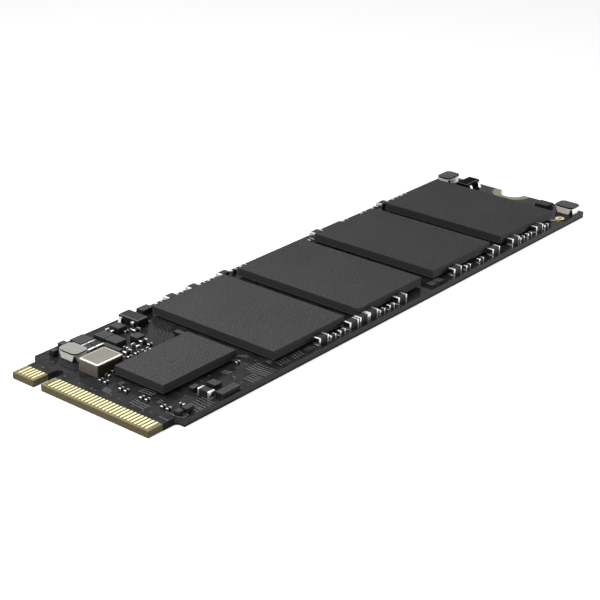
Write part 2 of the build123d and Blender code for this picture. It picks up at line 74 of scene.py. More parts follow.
def linear(hex_colour):
    """Turn an sRGB hex colour into linear red, green and blue."""
    channels = []
    for start in (1, 3, 5):
        value = int(hex_colour[start:start + 2], 16) / 255
        channels.append(value / 12.92 if value <= 0.04045 else ((value + 0.055) / 1.055) ** 2.4)
    return tuple(channels)


def length(name, description, millimetres):
    """A length that the user can change, shown in the scene's units."""
    return bpy.props.FloatProperty(
        name=name, description=description, default=millimetres * MM, min=0, precision=5,
        subtype="DISTANCE", unit="LENGTH",
    )


def paint(name, description, hex_colour):
    """A colour that the user can change, kept as linear light."""
    return bpy.props.FloatVectorProperty(
        name=name, description=description, default=linear(hex_colour), size=3, min=0, max=1, subtype="COLOR")


class DriveSizes(bpy.types.PropertyGroup):
    """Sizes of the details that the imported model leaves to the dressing."""

    package_edge: length("Package Edge", "Rounding of the large packages", 0.04)
    chip_edge: length("Chip Edge", "Rounding of the small chips", 0.03)
    regulator_edge: length("Regulator Edge", "Rounding of the regulators' bodies", 0.05)
    contact_slope: length("Contact Slope", "How far a contact's sides slope in from its foot", 0.03)
    cap_edge: length("End Cap Edge", "Rounding of the end caps", 0.03)
    cap_wall: length("End Cap Wall", "Thickness of an end cap over the ceramic", 0.02)
    plate_edge: length("Plate Edge", "Rounding of the ferrite plates", 0.05)
    jacket_edge: length("Jacket Edge", "Rounding of the resin blocks", 0.02)
    fillet_reach: length("Solder Reach", "How far solder spreads past a part", 0.14)
    fillet_gap: length("Solder Clearance", "Bare card between solder and the next part", 0.04)
    trace_height: length("Trace Height", "How far a trace stands up under the mask", 0.012)
    trace_width: length("Trace Width", "Width of a trace at its foot", 0.09)
    via_radius: length("Via Radius", "Radius of a covered via's land", 0.14)
    lid_ledge: length("Crystal Ledge", "Width of the crystal's rim outside its lid", 0.12)
    lid_bevel: length("Crystal Bevel", "Width of the slope round the lid", 0.14)
    lid_drop: length("Crystal Rim Drop", "How far the rim lies below the lid", 0.035)


class DriveColours(bpy.types.PropertyGroup):
    """Base colours of the finishes."""

    mask: paint("Solder Mask", "Solder mask over laminate", "#1f1f20")
    # Partly painted highlight: traces are painted much lighter than the mask.
    mask_over_trace_and_highlight: paint("Mask over Traces", "Solder mask over a trace", "#767676")
    mask_over_via: paint("Mask over Vias", "Solder mask over a via", "#484848")
    laminate: paint("Laminate", "Bare laminate", "#857a5c")
    # Painted shade: the darker laminate painted between the contacts.
    contact_gap_shade: paint("Contact Gap", "Laminate between the contacts", "#554d30")
    # Painted shade: the bare tongue's upright edges are painted darker than its face.
    tongue_edge_shade: paint("Tongue Edge", "Routed edge of the bare laminate", "#5f5844")
    card_edge: paint("Card Edge", "Routed edge of the masked card", "#414141")
    # Painted shade on the notch walls, the tongue's sides and the foot of the edges.
    edge_shade: paint("Inked Edge", "Routed edge under mask", "#202021")
    gold: paint("Gold", "Hard gold on the contacts", "#e6dfb0")
    # Painted shade: the colour of the contacts' sloping sides.
    gold_slope_shade: paint("Gold Slope", "Thin gold down the contacts' sides", "#8d8350")
    # Partly painted highlight: the ring's gold is painted nearly white.
    ring_gold_and_highlight: paint("Ring Gold", "Soft gold round the plated hole", "#fff2c4")
    land: paint("Screw Land", "Plated land round the screw notch", "#8e896c")
    epoxy: paint("Moulded Epoxy", "Large packages", "#404040")
    chip_epoxy: paint("Chip Epoxy", "Small chips", "#484849")
    # Painted highlight: the colour painted on the regulators' rounded upper edges.
    edge_highlight: paint("Parting Edge", "Polished upper edge of a regulator", "#6a6a6a")
    dark_epoxy: paint("Dark Epoxy", "Regulator at the screw end", "#101010")
    tin: paint("Tin Plate", "Tin on terminals, pads and leads", "#e6e6e3")
    solder: paint("Solder", "Reflowed solder", "#6e6e6e")
    wetted_end: paint("Wetted End", "End face of a capacitor, dulled by solder", "#a2a2a0")
    can: paint("Crystal Can", "Crystal's lid", "#8a867b")
    # Painted shade: both side colours of the can are painted darker than its lid.
    can_side_shade: paint("Crystal Side", "Can's sides across the rolling lines", "#7d786b")
    can_flank_shade: paint("Crystal Flank", "Can's sides along the rolling lines", "#3b372e")
    # Painted highlight: the lid's sloping edge is painted pale.
    can_edge_highlight: paint("Crystal Edge", "Burnished slope round the lid", "#d5d1c6")
    ceramic: paint("Capacitor Ceramic", "Capacitors' ceramic", "#2e2d2c")
    glaze: paint("Resistor Glaze", "Resistors' glaze", "#2a2a2b")
    # Painted highlight: this plate is painted lighter than the two far ones, which are the same ferrite.
    ferrite: paint("Ferrite", "Plate of the inductor by the connector", "#908e89")
    # Painted shade: these plates are painted darker than the one by the connector.
    far_ferrite_and_shade: paint("Dark Ferrite", "Plates of the two far inductors", "#4c4a44")
    # Painted shade: the colour of the ferrite's sides and of the edges that turn away from the top.
    ferrite_side_shade: paint("Ferrite Side", "Unground sides of the ferrite", "#1d1b17")
    resin: paint("Jacket Resin", "Inductors' resin blocks", "#f4f1ea")
    # Painted shade: the colour painted on the resin blocks' cut corners.
    resin_corner_shade: paint("Jacket Corner", "Cut corners of the resin blocks", "#2b2721")


def settings():
    """The sizes and the colours in use."""
    scene = bpy.context.scene
    return scene.drive_sizes, scene.drive_colours


# Materials

# How much the bands of every wave texture waver
WAVERING = {"Distortion": 0.6, "Detail": 1.0}


def add(tree, kind, *inputs, **options):
    """Add a node with its settings and links. Inputs are given in order, or by name with a capital letter first
    and underscores for spaces. Each is a value, a socket, or a node, which stands for its first output in use."""
    node = tree.nodes.new("ShaderNode" + kind)
    given = dict(enumerate(inputs))
    for name, value in options.items():
        if name[0].isupper():
            given[name.replace("_", " ")] = value
        else:
            setattr(node, name, value)
    for name, value in given.items():
        if isinstance(value, bpy.types.Node):
            value = next(output for output in value.outputs if output.enabled)
        if isinstance(value, bpy.types.NodeSocket):
            tree.links.new(value, node.inputs[name])
        else:
            node.inputs[name].default_value = value
    return node


def empty_tree(owner):
    """The node tree of a material or a world, emptied."""
    owner.use_nodes = True
    owner.node_tree.nodes.clear()
    return owner.node_tree


def new_material(name):
    """A material, its empty node tree, and the place on the object in metres."""
    material = bpy.data.materials.new(name)
    tree = empty_tree(material)
    return material, tree, add(tree, "TexCoord").outputs["Object"]


def surface(material, **sockets):
    """Close the material's tree with one shader, and return the material."""
    shader = add(material.node_tree, "BsdfPrincipled", **sockets)
    add(material.node_tree, "OutputMaterial", Surface=shader)
    return material


def per_metre(size_mm):
    """The scale at which a pattern's features are this many millimetres across."""
    return 1 / (size_mm * MM)


def band_scale(spacing_mm):
    """The scale at which a wave's bands are this many millimetres apart."""
    # At scale 1 the wave runs through 20 radians in a metre.
    return math.tau * per_metre(spacing_mm) / 20


def shade_of(colour, factor=1.0):
    """A colour with more or less light, as the four values that a socket takes."""
    return (*(min(1.0, channel * factor) for channel in colour[:3]), 1)


def follow(tree, pattern, low, high):
    """A number or a colour that goes from one value to the other over the middle range of a pattern."""
    middle = add(tree, "MapRange", Value=pattern, From_Min=0.3, From_Max=0.7)
    data_type = "RGBA" if isinstance(low, tuple) else "FLOAT"
    return add(tree, "Mix", Factor=middle, A=low, B=high, data_type=data_type)


def tones(tree, pattern, colour, least, most=1.0):
    """One colour with its light between two factors, following a pattern."""
    return follow(tree, pattern, shade_of(colour, least), shade_of(colour, most))


def facing(tree, axis):
    """How far the flat face under each point looks along an axis, from 0 to 1."""
    normal = add(tree, "NewGeometry").outputs["True Normal"]
    share = add(tree, "SeparateXYZ", Vector=normal).outputs[axis]
    return add(tree, "Math", share, operation="ABSOLUTE")


def crossed_bands(tree, place, spacing_mm):
    """Two sets of bands at right angles, each from 0 to 1."""
    wave = {"Vector": place, "Scale": band_scale(spacing_mm), **WAVERING}
    return [add(tree, "TexWave", bands_direction=axis, **wave).outputs["Fac"] for axis in "XY"]


def masked_laminate():
    """Black liquid solder mask, curtain coated: a dark satin skin. The end of the tongue is bare laminate, where
    the glass cloth shows as a faint square weave. The routed edges are cut glass and epoxy, dull; under the mask
    they are paler than the mask, and on the bare tongue they are painted darker than its face, as painted shade.
    Parts of the masked edges, and the laminate between the contacts, are also painted dark as painted shade."""
    colours = settings()[1]
    material, tree, place = new_material("black_solder_mask_on_laminate")
    axes = add(tree, "SeparateXYZ", Vector=place).outputs
    masked = add(tree, "Math", axes["X"], BARE_TONGUE_END, operation="GREATER_THAN")
    routed = add(tree, "Math", facing(tree, "Z"), 0.5, operation="LESS_THAN")
    # Painted shade: the edges of the key notch, the tongue's sides and the foot of every masked edge are painted
    # nearly black.
    off_centre = add(tree, "Math", axes["Y"], operation="ABSOLUTE")
    on_tongue = add(tree, "Math", axes["X"], CARD_LOW.x + EDGE_SHADE_LENGTH, operation="LESS_THAN")
    inside = add(tree, "Math", off_centre, EDGE_SHADE_HALF_WIDTH, operation="LESS_THAN")
    in_notches = add(tree, "Math", on_tongue, inside, operation="MULTIPLY")
    at_foot = add(tree, "Math", axes["Z"], EDGE_SHADE_FOOT, operation="LESS_THAN")
    painted_edge_shade = add(tree, "Math", in_notches, at_foot, operation="MAXIMUM")
    # Painted shade: the laminate between the contacts is painted darker.
    past_tip = add(tree, "Math", axes["X"], CONTACTS_LOW.x, operation="GREATER_THAN")
    in_rows = add(tree, "Math", off_centre, CONTACTS_HIGH.y, operation="LESS_THAN")
    from_key = add(tree, "Math", axes["Y"], KEY_NOTCH_MIDDLE, operation="SUBTRACT")
    from_key = add(tree, "Math", from_key, operation="ABSOLUTE")
    clear_of_key = add(tree, "Math", from_key, KEY_CLEARANCE, operation="GREATER_THAN")
    shaded_gaps = add(tree, "Math", past_tip, in_rows, operation="MULTIPLY")
    shaded_gaps = add(tree, "Math", shaded_gaps, clear_of_key, operation="MULTIPLY")
    # The cloth's yarns are 0.5 mm apart, crossed at right angles.
    warp, weft = crossed_bands(tree, place, 0.5)
    weave = add(tree, "Math", warp, weft, operation="MULTIPLY")
    cloth = tones(tree, weave, colours.laminate, 0.85, 1.15)
    cloth = add(tree, "Mix", Factor=shaded_gaps, A=cloth, B=shade_of(colours.contact_gap_shade), data_type="RGBA")
    # Copper under the mask changes its tone: pours in patches a few millimetres across, and between them buried
    # traces 0.3 mm apart, which turn from patch to patch.
    pours = add(tree, "TexNoise", Vector=place, Scale=per_metre(3.0), Detail=3.0)
    mask = tones(tree, pours, colours.mask, 0.85, 1.2)
    patches = add(tree, "TexNoise", Vector=place, Scale=per_metre(2.0), Detail=1.0)
    turned = add(tree, "Math", patches, 0.5, operation="GREATER_THAN")
    across, along = crossed_bands(tree, place, 0.3)
    buried = add(tree, "Mix", Factor=turned, A=across, B=along)
    routes = add(tree, "TexNoise", Vector=place, Scale=per_metre(1.3), Detail=1.0)
    routes = add(tree, "Math", routes, 0.47, operation="GREATER_THAN")
    buried = add(tree, "Math", buried, routes, operation="MULTIPLY")
    mask = add(tree, "Mix", Factor=buried, A=mask, B=shade_of(colours.mask, 2.1), data_type="RGBA")
    # The router leaves glass ends 0.1 mm apart, in plies that lie flat.
    plies = add(tree, "Mapping", Vector=place, Scale=(0.25, 0.25, 1))
    glass_ends = add(tree, "TexNoise", Vector=plies, Scale=per_metre(0.1))
    bare_edge = tones(tree, glass_ends, colours.tongue_edge_shade, 0.85, 1.1)
    card_edge = tones(tree, glass_ends, colours.card_edge, 0.9, 1.06)
    card_edge = add(tree, "Mix", Factor=painted_edge_shade, A=card_edge, B=shade_of(colours.edge_shade), data_type="RGBA")
    face = add(tree, "Mix", Factor=masked, A=cloth, B=mask, data_type="RGBA")
    edge = add(tree, "Mix", Factor=masked, A=bare_edge, B=card_edge, data_type="RGBA")
    colour = add(tree, "Mix", Factor=routed, A=face, B=edge, data_type="RGBA")
    # The mask's skin is uneven over 0.4 mm, which breaks up what it mirrors.
    skin = add(tree, "TexNoise", Vector=place, Scale=per_metre(0.4))
    cloth_gloss, mask_gloss = follow(tree, weave, 0.5, 0.6), follow(tree, skin, 0.08, 0.14)
    gloss = add(tree, "Mix", Factor=masked, A=cloth_gloss, B=mask_gloss)
    gloss = add(tree, "Mix", Factor=routed, A=gloss, B=follow(tree, glass_ends, 0.6, 0.75))
    height = add(tree, "Math", skin, buried, operation="ADD")
    height = add(tree, "Mix", Factor=masked, A=weave, B=height)
    height = add(tree, "Mix", Factor=routed, A=height, B=glass_ends)
    relief = add(tree, "Bump", Height=height, Distance=0.001 * MM)
    return surface(material, Base_Color=colour, Roughness=gloss, Specular_IOR_Level=0.05, Normal=relief)


def mask_over_copper(name, colour):
    """The same mask where it climbs over copper: thinner there, so a little lighter and shinier. Its light
    colours are partly a painted highlight along the raised copper.
    """
    material, tree, place = new_material(name)
    patches = add(tree, "TexNoise", Vector=place, Scale=per_metre(0.8))
    return surface(
        material, Base_Color=tones(tree, patches, colour, 0.6),
        Roughness=follow(tree, patches, 0.25, 0.35), Specular_IOR_Level=0.1,
    )


def hard_gold():
    """Electroplated hard gold on nickel: pale, with fine rubbing marks along the way the card slides in. The
    pads' etched sides are painted brownish and dark, as painted shade."""
    colours = settings()[1]
    material, tree, place = new_material("electroplated_hard_gold")
    # Rubbing marks are 2 mm long. They are drawn 0.06 mm wide, wider than they are, so that they show.
    lengthways = add(tree, "Mapping", Vector=place, Scale=(0.03, 1, 1))
    marks = add(tree, "TexNoise", Vector=lengthways, Scale=per_metre(0.06), Detail=1.0)
    cloud = add(tree, "TexNoise", Vector=place, Scale=per_metre(1.2))
    pale, brownish = tones(tree, cloud, colours.gold, 0.94), shade_of(colours.gold_slope_shade)
    # Painted shade: the sloping sides of the pads are painted brownish and dark.
    on_slope = add(tree, "Math", facing(tree, "Z"), 0.9, operation="LESS_THAN")
    colour = add(tree, "Mix", Factor=on_slope, A=pale, B=brownish, data_type="RGBA")
    return surface(
        material, Base_Color=colour, Metallic=1.0, Roughness=follow(tree, marks, 0.22, 0.38),
        Normal=add(tree, "Bump", Height=marks, Distance=0.0003 * MM),
    )


def soft_gold():
    """Immersion gold on a round land: pale on the face, partly a painted highlight, and orange down the hole,
    a painted reflection where gold mirrors gold.
    """
    colours = settings()[1]
    material, tree, place = new_material("immersion_gold")
    cloud = add(tree, "TexNoise", Vector=place, Scale=per_metre(0.3))
    pale = tones(tree, cloud, colours.ring_gold_and_highlight, 0.9)
    # Painted reflection: the hole's wall is painted orange, as gold mirrored in gold.
    orange = follow(tree, cloud, shade_of(linear("#e6bd55")), shade_of(linear("#f8dc86")))
    on_face = add(tree, "Math", facing(tree, "Z"), 0.5, operation="GREATER_THAN")
    colour = add(tree, "Mix", Factor=on_face, A=orange, B=pale, data_type="RGBA")
    return surface(
        material, Base_Color=colour, Metallic=0.6, Roughness=follow(tree, cloud, 0.45, 0.55),
        Normal=add(tree, "Bump", Height=cloud, Distance=0.0005 * MM),
    )


def dull_land():
    """Tarnished plated copper under a thin organic coat: khaki and nearly matt, with faint wipe marks."""
    colours = settings()[1]
    material, tree, place = new_material("coated_copper_land")
    cloud = add(tree, "TexNoise", Vector=place, Scale=per_metre(0.6), Detail=3.0)
    wipes = add(tree, "TexNoise", Vector=place, Scale=per_metre(0.15))
    return surface(
        material, Base_Color=tones(tree, cloud, colours.land, 0.85, 1.05), Metallic=0.6,
        Roughness=follow(tree, cloud, 0.42, 0.55), Normal=add(tree, "Bump", Height=wipes, Distance=0.001 * MM),
    )


def mineral_epoxy(name, colour, grain_mm, depth_mm, contrast=0.16, painted_side_shade=1.0, edge=None, gloss=0.04):
    """Epoxy moulding compound from a spark-eroded mould: matt, with a fine even speckle from its silica filler.
    The filler is finer than 0.1 mm, and the speckle is drawn somewhat coarser so that it shows. The sides can be
    painted darker than the top, as painted shade, and the rounded edges between them painted pale, as a painted
    highlight."""
    material, tree, place = new_material(name)
    speckle = add(tree, "TexNoise", Vector=place, Scale=per_metre(grain_mm), Detail=1.0)
    cloud = add(tree, "TexNoise", Vector=place, Scale=per_metre(6.0))
    tone = tones(tree, speckle, colour, 1 - contrast, 1 + contrast)
    level = facing(tree, "Z")
    # Painted shade: the sides are painted darker than the top.
    if painted_side_shade < 1:
        on_top = add(tree, "Math", level, 0.5, operation="GREATER_THAN")
        tone = add(tree, "Mix", Factor=on_top, A=shade_of(colour, painted_side_shade), B=tone, data_type="RGBA")
    # Painted highlight: the sloping rounded edges between the sides and the top are painted pale.
    if edge is not None:
        off_side = add(tree, "Math", level, 0.3, operation="GREATER_THAN")
        off_top = add(tree, "Math", level, 0.97, operation="LESS_THAN")
        painted_edge_highlight = add(tree, "Math", off_side, off_top, operation="MULTIPLY")
        tone = add(tree, "Mix", Factor=painted_edge_highlight, A=tone, B=shade_of(edge), data_type="RGBA")
    return surface(
        material, Base_Color=tone, Roughness=follow(tree, cloud, 0.55, 0.65), Specular_IOR_Level=gloss,
        Normal=add(tree, "Bump", Height=speckle, Distance=depth_mm * MM),
    )


def tinned(name, colour, smooth, rough, metallic=1.0):
    """Tin over nickel or reflowed solder: silvery, with frosted patches where it froze in coarse grains."""
    material, tree, place = new_material(name)
    # The frozen grains are about 0.05 mm across. They are drawn at 0.08 mm so that they show.
    grains = add(tree, "TexVoronoi", Vector=place, Scale=per_metre(0.08))
    frost = add(tree, "TexNoise", Vector=place, Scale=per_metre(0.3))
    return surface(
        material, Base_Color=tones(tree, frost, colour, 0.82), Metallic=metallic,
        Roughness=follow(tree, frost, smooth, rough),
        Normal=add(tree, "Bump", Height=grains, Distance=0.001 * MM),
    )


def drawn_nickel():
    """Rolled nickel-iron sheet, deep drawn: warm grey satin, with rolling lines along the lid. The lid's sloping
    edge is painted pale, a painted highlight. The side walls are more matt and painted darker, as painted shade,
    darkest on the walls that run along the rolling lines."""
    colours = settings()[1]
    material, tree, place = new_material("deep_drawn_nickel_iron")
    # Rolling lines are 0.05 mm apart and run on for a millimetre.
    lengthways = add(tree, "Mapping", Vector=place, Scale=(0.05, 1, 1))
    lines = add(tree, "TexNoise", Vector=lengthways, Scale=per_metre(0.05))
    cloud = add(tree, "TexNoise", Vector=place, Scale=per_metre(0.9))
    level = facing(tree, "Z")
    flat = add(tree, "Math", level, 0.985, operation="GREATER_THAN")
    lid = tones(tree, cloud, colours.can, 0.93)
    # Painted highlight: the lid's sloping edge is painted pale.
    lid = add(tree, "Mix", Factor=flat, A=shade_of(colours.can_edge_highlight), B=lid, data_type="RGBA")
    # Painted shade: the side walls are painted darker, most of all those that run along the rolling lines.
    along = add(tree, "Math", facing(tree, "Y"), 0.7, operation="GREATER_THAN")
    side, shaded_flank = tones(tree, cloud, colours.can_side_shade, 0.93), tones(tree, cloud, colours.can_flank_shade, 0.8)
    side = add(tree, "Mix", Factor=along, A=side, B=shaded_flank, data_type="RGBA")
    lid_gloss, side_gloss = follow(tree, lines, 0.22, 0.24), follow(tree, cloud, 0.45, 0.5)
    on_side = add(tree, "Math", level, 0.5, operation="LESS_THAN")
    return surface(
        material, Base_Color=add(tree, "Mix", Factor=on_side, A=lid, B=side, data_type="RGBA"),
        Metallic=add(tree, "Mix", Factor=on_side, A=1.0, B=0.5),
        Roughness=add(tree, "Mix", Factor=on_side, A=lid_gloss, B=side_gloss),
    )


def fired_ceramic(name, colour, smooth, rough):
    """Sintered ceramic or ferrite, as fired or ground: dense and faintly pitted, with a low even sheen."""
    material, tree, place = new_material(name)
    pits = add(tree, "TexNoise", Vector=place, Scale=per_metre(0.12), Detail=3.0)
    return surface(
        material, Base_Color=tones(tree, pits, colour, 0.88, 1.06), Roughness=follow(tree, pits, smooth, rough),
        Specular_IOR_Level=0.1, Normal=add(tree, "Bump", Height=pits, Distance=0.003 * MM),
    )


def ground_ferrite(name, colour, painted_shade_from):
    """Sintered ferrite with a ground top: even grey with a low sheen. Faces that turn away from the top by more
    than a given level are painted nearly black, as painted shade; a low level leaves the rounded edges light, as
    a painted highlight."""
    colours = settings()[1]
    material, tree, place = new_material(name)
    pits = add(tree, "TexNoise", Vector=place, Scale=per_metre(0.12), Detail=3.0)
    tone = tones(tree, pits, colour, 0.92, 1.05)
    # Painted shade: faces turned further from the top than the given level take the dark side colour.
    ground = add(tree, "Math", facing(tree, "Z"), painted_shade_from, operation="GREATER_THAN")
    tone = add(tree, "Mix", Factor=ground, A=shade_of(colours.ferrite_side_shade), B=tone, data_type="RGBA")
    return surface(
        material, Base_Color=tone, Roughness=follow(tree, pits, 0.3, 0.4), Specular_IOR_Level=0.06,
        Normal=add(tree, "Bump", Height=pits, Distance=0.003 * MM),
    )


def cast_resin():
    """Cream ferrite-filled resin, pressed in a mould: soft sheen and slightly cloudy. Its cut corners are painted
    dark brown, as painted shade."""
    colours = settings()[1]
    material, tree, place = new_material("pressed_cream_resin")
    cloud = add(tree, "TexNoise", Vector=place, Scale=per_metre(0.5), Detail=3.0)
    skin = add(tree, "TexNoise", Vector=place, Scale=per_metre(0.15))
    cream = tones(tree, cloud, colours.resin, 0.93)
    # Painted shade: faces that are not square to an axis, the cut corners, are painted dark brown.
    squareness = add(tree, "Math", facing(tree, "X"), facing(tree, "Y"), operation="MAXIMUM")
    squareness = add(tree, "Math", squareness, facing(tree, "Z"), operation="MAXIMUM")
    square = add(tree, "Math", squareness, 0.85, operation="GREATER_THAN")
    colour = add(tree, "Mix", Factor=square, A=shade_of(colours.resin_corner_shade), B=cream, data_type="RGBA")
    return surface(
        material, Base_Color=colour, Roughness=follow(tree, cloud, 0.4, 0.5), IOR=1.5,
        Normal=add(tree, "Bump", Height=skin, Distance=0.002 * MM),
    )


def polished_silicon():
    """Sawn and polished silicon: a dark blue-grey mirror with faint grinding arcs 0.2 mm apart."""
    material, tree, place = new_material("polished_silicon")
    wave = add(tree, "TexWave", Vector=place, Scale=band_scale(0.2), wave_type="RINGS", **WAVERING)
    arcs = wave.outputs["Fac"]
    tone = follow(tree, arcs, shade_of(linear("#3b3d44")), shade_of(linear("#454850")))
    return surface(material, Base_Color=tone, Metallic=0.8, Roughness=follow(tree, arcs, 0.1, 0.16))


def lapped_quartz():
    """Lapped quartz blank: clear, with a frosted face."""
    material, tree, place = new_material("lapped_quartz")
    frost = add(tree, "TexNoise", Vector=place, Scale=per_metre(0.05))
    tone = follow(tree, frost, shade_of(linear("#dfe4e6")), shade_of(linear("#f4f6f6")))
    return surface(
        material, Base_Color=tone, Roughness=follow(tree, frost, 0.35, 0.5), IOR=1.54, Transmission_Weight=0.8)


def enamelled_copper():
    """Enamelled copper wire, wound tight: turns show as bands 0.1 mm apart up the coil."""
    material, tree, place = new_material("enamelled_copper_wire")
    wave = add(tree, "TexWave", Vector=place, Scale=band_scale(0.1), bands_direction="Z", **WAVERING)
    turns = wave.outputs["Fac"]
    tone = follow(tree, turns, shade_of(linear("#7d3f1c")), shade_of(linear("#c9793f")))
    return surface(
        material, Base_Color=tone, Metallic=1.0, Roughness=follow(tree, turns, 0.25, 0.4),
        Normal=add(tree, "Bump", Height=turns, Distance=0.02 * MM),
    )


def dress(material, *names):
    """Give CAD nodes a material. Their shape is left as it is."""
    for name in names:
        for material_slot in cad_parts[name].material_slots:
            material_slot.material = material


# Meshes

WELD_DISTANCE = 0.001 * MM
SHARP_ANGLE = math.radians(40)
CREASE_ANGLE = math.radians(35)


def new_piece(name, bm, material, replaced=(), second_material=None):
    """Make a mesh built in bm a piece that rides on the card and stands for the CAD nodes that it replaces."""
    bmesh.ops.recalc_face_normals(bm, faces=bm.faces[:])
    mesh = bpy.data.meshes.new(name)
    bm.to_mesh(mesh)
    bm.free()
    piece = bpy.data.objects.new(name, mesh)
    bpy.context.scene.collection.objects.link(piece)
    mesh.materials.append(material)
    if second_material is not None:
        mesh.materials.append(second_material)
    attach(piece, "root")
    if replaced:
        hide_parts(*replaced)
    return piece


def even_shading(piece):
    """Smooth the rounded edges, keep the sharp ones, and keep large faces flat by weighting normals by area."""
    for polygon in piece.data.polygons:
        polygon.use_smooth = True
    piece.data.set_sharp_from_angle(angle=SHARP_ANGLE)
    weighted = piece.modifiers.new("even_shading", "WEIGHTED_NORMAL")
    weighted.keep_sharp = True
    weighted.weight = 100


def welded(node):
    """A bmesh of a CAD node with its faces joined at their edges."""
    bm = bmesh.new()
    bm.from_mesh(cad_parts[node].data)
    bmesh.ops.remove_doubles(bm, verts=bm.verts[:], dist=WELD_DISTANCE)
    return bm


def solid_boxes(node):
    """The box of each separate solid in a CAD node, from the connector edge onwards."""
    bm = welded(node)
    seen = set()
    boxes = []
    for start in bm.verts:
        if start in seen:
            continue
        seen.add(start)
        joined = [start]
        for vertex in joined:
            others = {edge.other_vert(vertex) for edge in vertex.link_edges} - seen
            seen |= others
            joined.extend(others)
        per_axis = list(zip(*(vertex.co for vertex in joined)))
        boxes.append((Vector([min(values) for values in per_axis]), Vector([max(values) for values in per_axis])))
    bm.free()
    return sorted(boxes, key=lambda box: tuple(box[0]))


def add_block(bm, low, high, radius, flat_side=None):
    """A block with rounded edges. The edges round flat_side, an outward direction, stay sharp."""
    middle, size = (low + high) / 2, high - low
    placed = Matrix.Translation(middle) @ Matrix.Diagonal((*size, 1))
    corners = bmesh.ops.create_cube(bm, size=1, matrix=placed)["verts"]
    edges = {edge for corner in corners for edge in corner.link_edges}
    if flat_side is not None:
        reach = max(corner.co.dot(flat_side) for corner in corners)
        kept = {corner for corner in corners if corner.co.dot(flat_side) > reach - WELD_DISTANCE}
        edges = {edge for edge in edges if not all(vertex in kept for vertex in edge.verts)}
    if radius > 0:
        bmesh.ops.bevel(bm, geom=list(edges), offset=radius, segments=2, profile=0.5, affect="EDGES")


def one_for_each(boxes, add_shape, *details):
    """A bmesh with one shape for each box."""
    bm = bmesh.new()
    for low, high in boxes:
        add_shape(bm, low, high, *details)
    return bm


def soften(node, suffix, radius, material):
    """A piece that stands for one CAD node, with its creases rounded off."""
    bm = welded(node)
    bmesh.ops.dissolve_limit(bm, angle_limit=math.radians(1), verts=bm.verts[:], edges=bm.edges[:])
    creases = [edge for edge in bm.edges if edge.calc_face_angle(0) > CREASE_ANGLE]
    bmesh.ops.bevel(
        bm, geom=creases, offset=radius, segments=2, profile=0.5, affect="EDGES", clamp_overlap=True)
    even_shading(new_piece(node + suffix, bm, material, [node]))


def add_skin(bm, loops):
    """Join closed loops of points into one skin, with a face over the first and last."""
    rings = [[bm.verts.new(point) for point in loop] for loop in loops]
    for lower, upper in zip(rings, rings[1:]):
        for i in range(len(lower)):
            bm.faces.new((lower[i - 1], lower[i], upper[i], upper[i - 1]))
    bm.faces.new(rings[0][::-1])
    bm.faces.new(rings[-1])


def circle(x, y, radius, level, sides):
    """Points round a circle at one level."""
    turns = [math.tau * side / sides for side in range(sides)]
    return [(x + radius * math.cos(turn), y + radius * math.sin(turn), level) for turn in turns]


def rounded_outline(low, high, inset, corner, level, steps=6):
    """Points round a rectangle with rounded corners, at one level."""
    radius = max(corner - inset, 0.02 * MM)
    points = []
    for quarter, (x, y) in enumerate(((high.x, high.y), (low.x, high.y), (low.x, low.y), (high.x, low.y))):
        centre_x = x + math.copysign(inset + radius, low.x + high.x - 2 * x)
        centre_y = y + math.copysign(inset + radius, low.y + high.y - 2 * y)
        for step in range(steps + 1):
            angle = math.pi / 2 * (quarter + step / steps)
            points.append((centre_x + radius * math.cos(angle), centre_y + radius * math.sin(angle), level))
    return points


# The card

def add_contact(bm, low, high, side, slope):
    """An etched contact pad, whose sides slope in from its foot to the face that looks outwards."""
    foot, face = (low.z, high.z) if side > 0 else (high.z, low.z)
    loops = []
    for level, inset in ((foot, 0), (face, slope)):
        near, far = low.x + inset, high.x - inset
        right, left = low.y + inset, high.y - inset
        loops.append([(near, right, level), (far, right, level), (far, left, level), (near, left, level)])
    add_skin(bm, loops)


class DRIVE_OT_card(bpy.types.Operator):
    """Dress the card: black mask, bare tongue, the plated screw land, the contacts and the plated hole"""

    bl_idname = "drive.card"
    bl_label = "Card and Plating"

    def execute(self, context):
        dress(masked_laminate(), "circuit_board")
        gold = hard_gold()
        for node, side in (("contact_fingers_top", 1), ("contact_fingers_bottom", -1)):
            bm = one_for_each(solid_boxes(node), add_contact, side, settings()[0].contact_slope)
            new_piece(node + "_etched", bm, gold, [node])
        dress(dull_land(), "screw_notch_plating")
        dress(soft_gold(), "plated_hole_lining")
        return {"FINISHED"}


